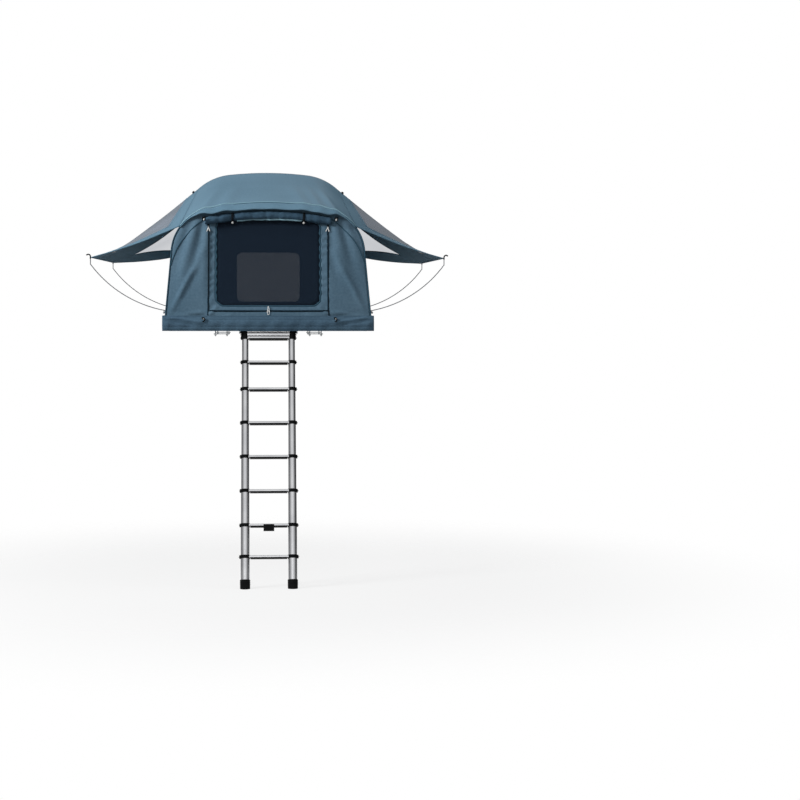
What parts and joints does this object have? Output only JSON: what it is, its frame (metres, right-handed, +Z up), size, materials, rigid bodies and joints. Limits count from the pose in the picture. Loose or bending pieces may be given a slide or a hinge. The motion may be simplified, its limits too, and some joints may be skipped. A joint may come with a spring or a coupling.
{
  "type": "roof top tent",
  "caption": "Folding soft-shell roof top tent on a hinged base, with a rain fly, clear-window awnings on bowed rods, mesh door and telescoping ladder, clamped across a vehicle's crossbars.",
  "frame": {"origin": "middle of the underside of the mounting rails, where they sit on the crossbars", "axes": "+X right and +Y away for someone who faces the entrance, +Z up"},
  "size_m": [2.4574, 2.9226, 2.7962],
  "materials": {
    "frame_aluminium": "mill finish",
    "floor_panel": "thin aluminium skins on a foam core",
    "steel_fittings": "zinc plated",
    "mattress_foam": "foam in a cloth cover",
    "canvas": "coated poly-cotton canvas",
    "mesh": "fine insect mesh",
    "fly_cloth": "coated polyester, faint sheen",
    "bow_tube": "anodised",
    "clear_film": "clear soft film",
    "rod_steel": "spring steel",
    "zip_metal": "nickel",
    "ladder_tube": "satin anodised",
    "black_plastic": "moulded, matt"
  },
  "bodies": {
    "rear_base": {"mounting_rails": "frame_aluminium", "crossbar_clamps": "steel_fittings", "rear_floor": "floor_panel", "rear_frame": "frame_aluminium", "rear_hinge_plates": "steel_fittings", "hinge_pins": "steel_fittings", "rear_mattress": "mattress_foam", "rear_skirt": "canvas", "rear_canopy": "canvas", "rear_meshes": "mesh", "rear_fly": "fly_cloth"},
    "front_base": {"front_floor": "floor_panel", "front_frame": "frame_aluminium", "front_hinge_plates": "steel_fittings", "front_mattress": "mattress_foam", "front_skirt": "canvas", "front_canopy": "canvas", "front_meshes": "mesh", "door_roll": "canvas", "front_fly": "fly_cloth", "ladder_brackets": "steel_fittings"},
    "rear_bow": {"rear_bow": "bow_tube"},
    "middle_bow": {"middle_bow": "bow_tube"},
    "front_bow": {"front_bow": "bow_tube"},
    "front_left_awning": {"front_left_awning": "fly_cloth", "front_left_window": "clear_film"},
    "front_right_awning": {"front_right_awning": "fly_cloth", "front_right_window": "clear_film"},
    "rear_left_awning": {"rear_left_awning": "fly_cloth", "rear_left_window": "clear_film"},
    "rear_right_awning": {"rear_right_awning": "fly_cloth", "rear_right_window": "clear_film"},
    "front_left_rod": {"front_left_rod": "rod_steel"},
    "front_right_rod": {"front_right_rod": "rod_steel"},
    "rear_left_rod": {"rear_left_rod": "rod_steel"},
    "rear_right_rod": {"rear_right_rod": "rod_steel"},
    "left_zip_slider": {"left_zip_slider": "zip_metal"},
    "right_zip_slider": {"right_zip_slider": "zip_metal"},
    "lower_zip_slider": {"lower_zip_slider": "zip_metal"},
    "ladder_1": {"ladder_section_1": "ladder_tube", "ladder_collars_1": "black_plastic"},
    "ladder_2": {"ladder_section_2": "ladder_tube", "ladder_collars_2": "black_plastic"},
    "ladder_3": {"ladder_section_3": "ladder_tube", "ladder_collars_3": "black_plastic"},
    "ladder_4": {"ladder_section_4": "ladder_tube", "ladder_collars_4": "black_plastic"},
    "ladder_5": {"ladder_section_5": "ladder_tube", "ladder_collars_5": "black_plastic"},
    "ladder_6": {"ladder_section_6": "ladder_tube", "ladder_collars_6": "black_plastic"},
    "ladder_7": {"ladder_section_7": "ladder_tube", "ladder_collars_7": "black_plastic"},
    "ladder_8": {"ladder_section_8": "ladder_tube", "ladder_collars_8": "black_plastic"},
    "ladder_9": {"ladder_section_9": "ladder_tube", "ladder_collars_9": "black_plastic"},
    "ladder_10": {"ladder_section_10": "ladder_tube", "ladder_collars_10": "black_plastic", "ladder_feet": "black_plastic"}
  },
  "joints": [
    {"name": "fold", "type": "hinge", "parent": "rear_base", "child": "front_base", "pos_m": [0, -0.61, 0.175], "axis": [-1, 0, 0], "range_deg": [0, 180], "deforming": ["rear_canopy", "rear_meshes", "rear_fly", "front_canopy", "front_meshes", "door_roll", "front_fly", "front_left_awning", "front_right_awning", "rear_left_awning", "rear_right_awning", "front_left_window", "front_right_window", "rear_left_window", "rear_right_window", "left_zip_slider", "right_zip_slider", "lower_zip_slider"]},
    {"name": "rear_bow_turn", "type": "hinge", "parent": "rear_base", "child": "rear_bow", "pos_m": [0, -0.61, 0.175], "axis": [-1, 0, 0], "range_deg": [0, 36.5]},
    {"name": "middle_bow_turn", "type": "hinge", "parent": "rear_base", "child": "middle_bow", "pos_m": [0, -0.61, 0.175], "axis": [-1, 0, 0], "range_deg": [0, 90.2]},
    {"name": "front_bow_turn", "type": "hinge", "parent": "rear_base", "child": "front_bow", "pos_m": [0, -0.61, 0.175], "axis": [-1, 0, 0], "range_deg": [0, 143.9]},
    {"name": "front_left_awning_drop", "type": "hinge", "parent": "front_base", "child": "front_left_awning", "pos_m": [-0.5, -0.61, 1.0262], "axis": [-0.0827, -0.9554, -0.2836], "range_deg": [0, 55.2]},
    {"name": "front_right_awning_drop", "type": "hinge", "parent": "front_base", "child": "front_right_awning", "pos_m": [0.5, -0.61, 1.0262], "axis": [-0.0827, 0.9554, 0.2836], "range_deg": [0, 55.2]},
    {"name": "rear_left_awning_drop", "type": "hinge", "parent": "rear_base", "child": "rear_left_awning", "pos_m": [-0.5, -0.61, 1.0262], "axis": [0.0827, -0.9554, 0.2836], "range_deg": [0, 45.2]},
    {"name": "rear_right_awning_drop", "type": "hinge", "parent": "rear_base", "child": "rear_right_awning", "pos_m": [0.5, -0.61, 1.0262], "axis": [0.0827, 0.9554, -0.2836], "range_deg": [0, 45.2]},
    {"name": "front_left_rod_swing", "type": "hinge", "parent": "front_base", "child": "front_left_rod", "pos_m": [-0.706, -1.57, 0.132], "axis": [-0.5446, 0, -0.8387], "range_deg": [0, 80.2]},
    {"name": "front_right_rod_swing", "type": "hinge", "parent": "front_base", "child": "front_right_rod", "pos_m": [0.706, -1.57, 0.132], "axis": [-0.5446, 0, 0.8387], "range_deg": [0, 80.2]},
    {"name": "rear_left_rod_swing", "type": "hinge", "parent": "rear_base", "child": "rear_left_rod", "pos_m": [-0.706, 0.35, 0.132], "axis": [0.5446, 0, 0.8387], "range_deg": [0, 90.2]},
    {"name": "rear_right_rod_swing", "type": "hinge", "parent": "rear_base", "child": "rear_right_rod", "pos_m": [0.706, 0.35, 0.132], "axis": [0.5446, 0, -0.8387], "range_deg": [0, 90.2]},
    {"name": "left_zip_run", "type": "slide", "parent": "front_base", "child": "left_zip_slider", "axis": [0, -0.2445, -0.9696], "range_m": [0, 0.54]},
    {"name": "right_zip_run", "type": "slide", "parent": "front_base", "child": "right_zip_slider", "axis": [0, -0.2445, -0.9696], "range_m": [0, 0.54]},
    {"name": "lower_zip_run", "type": "slide", "parent": "front_base", "child": "lower_zip_slider", "axis": [1, 0, 0], "range_m": [-0.33, 0.33]},
    {"name": "ladder_swing", "type": "hinge", "parent": "front_base", "child": "ladder_1", "pos_m": [0, -1.79, 0.005], "axis": [1, 0, 0], "range_deg": [-12, 24]},
    {"name": "ladder_slide_2", "type": "slide", "parent": "ladder_1", "child": "ladder_2", "axis": [0, -0.2756, -0.9613], "range_m": [0, 0.2064]},
    {"name": "ladder_slide_3", "type": "slide", "parent": "ladder_2", "child": "ladder_3", "axis": [0, -0.2756, -0.9613], "range_m": [0, 0.2064]},
    {"name": "ladder_slide_4", "type": "slide", "parent": "ladder_3", "child": "ladder_4", "axis": [0, 0.2756, 0.9613], "range_m": [0, 0.1454]},
    {"name": "ladder_slide_5", "type": "slide", "parent": "ladder_4", "child": "ladder_5", "axis": [0, 0.2756, 0.9613], "range_m": [0, 0.1614]},
    {"name": "ladder_slide_6", "type": "slide", "parent": "ladder_5", "child": "ladder_6", "axis": [0, 0.2756, 0.9613], "range_m": [0, 0.2064]},
    {"name": "ladder_slide_7", "type": "slide", "parent": "ladder_6", "child": "ladder_7", "axis": [0, 0.2756, 0.9613], "range_m": [0, 0.2064]},
    {"name": "ladder_slide_8", "type": "slide", "parent": "ladder_7", "child": "ladder_8", "axis": [0, 0.2756, 0.9613], "range_m": [0, 0.2064]},
    {"name": "ladder_slide_9", "type": "slide", "parent": "ladder_8", "child": "ladder_9", "axis": [0, 0.2756, 0.9613], "range_m": [0, 0.2064]},
    {"name": "ladder_slide_10", "type": "slide", "parent": "ladder_9", "child": "ladder_10", "axis": [0, 0.2756, 0.9613], "range_m": [0, 0.1675]}
  ],
  "couplings": [
    {"joint": "rear_bow_turn", "follows": "fold", "ratio": 0.20167},
    {"joint": "middle_bow_turn", "follows": "fold", "ratio": 0.5},
    {"joint": "front_bow_turn", "follows": "fold", "ratio": 0.79833},
    {"joint": "front_left_awning_drop", "follows": "fold", "ratio": 0.30556},
    {"joint": "front_right_awning_drop", "follows": "fold", "ratio": 0.30556},
    {"joint": "rear_left_awning_drop", "follows": "fold", "ratio": 0.25},
    {"joint": "rear_right_awning_drop", "follows": "fold", "ratio": 0.25},
    {"joint": "front_left_rod_swing", "follows": "fold", "ratio": 0.44444},
    {"joint": "front_right_rod_swing", "follows": "fold", "ratio": 0.44444},
    {"joint": "rear_left_rod_swing", "follows": "fold", "ratio": 0.5},
    {"joint": "rear_right_rod_swing", "follows": "fold", "ratio": 0.5}
  ]
}
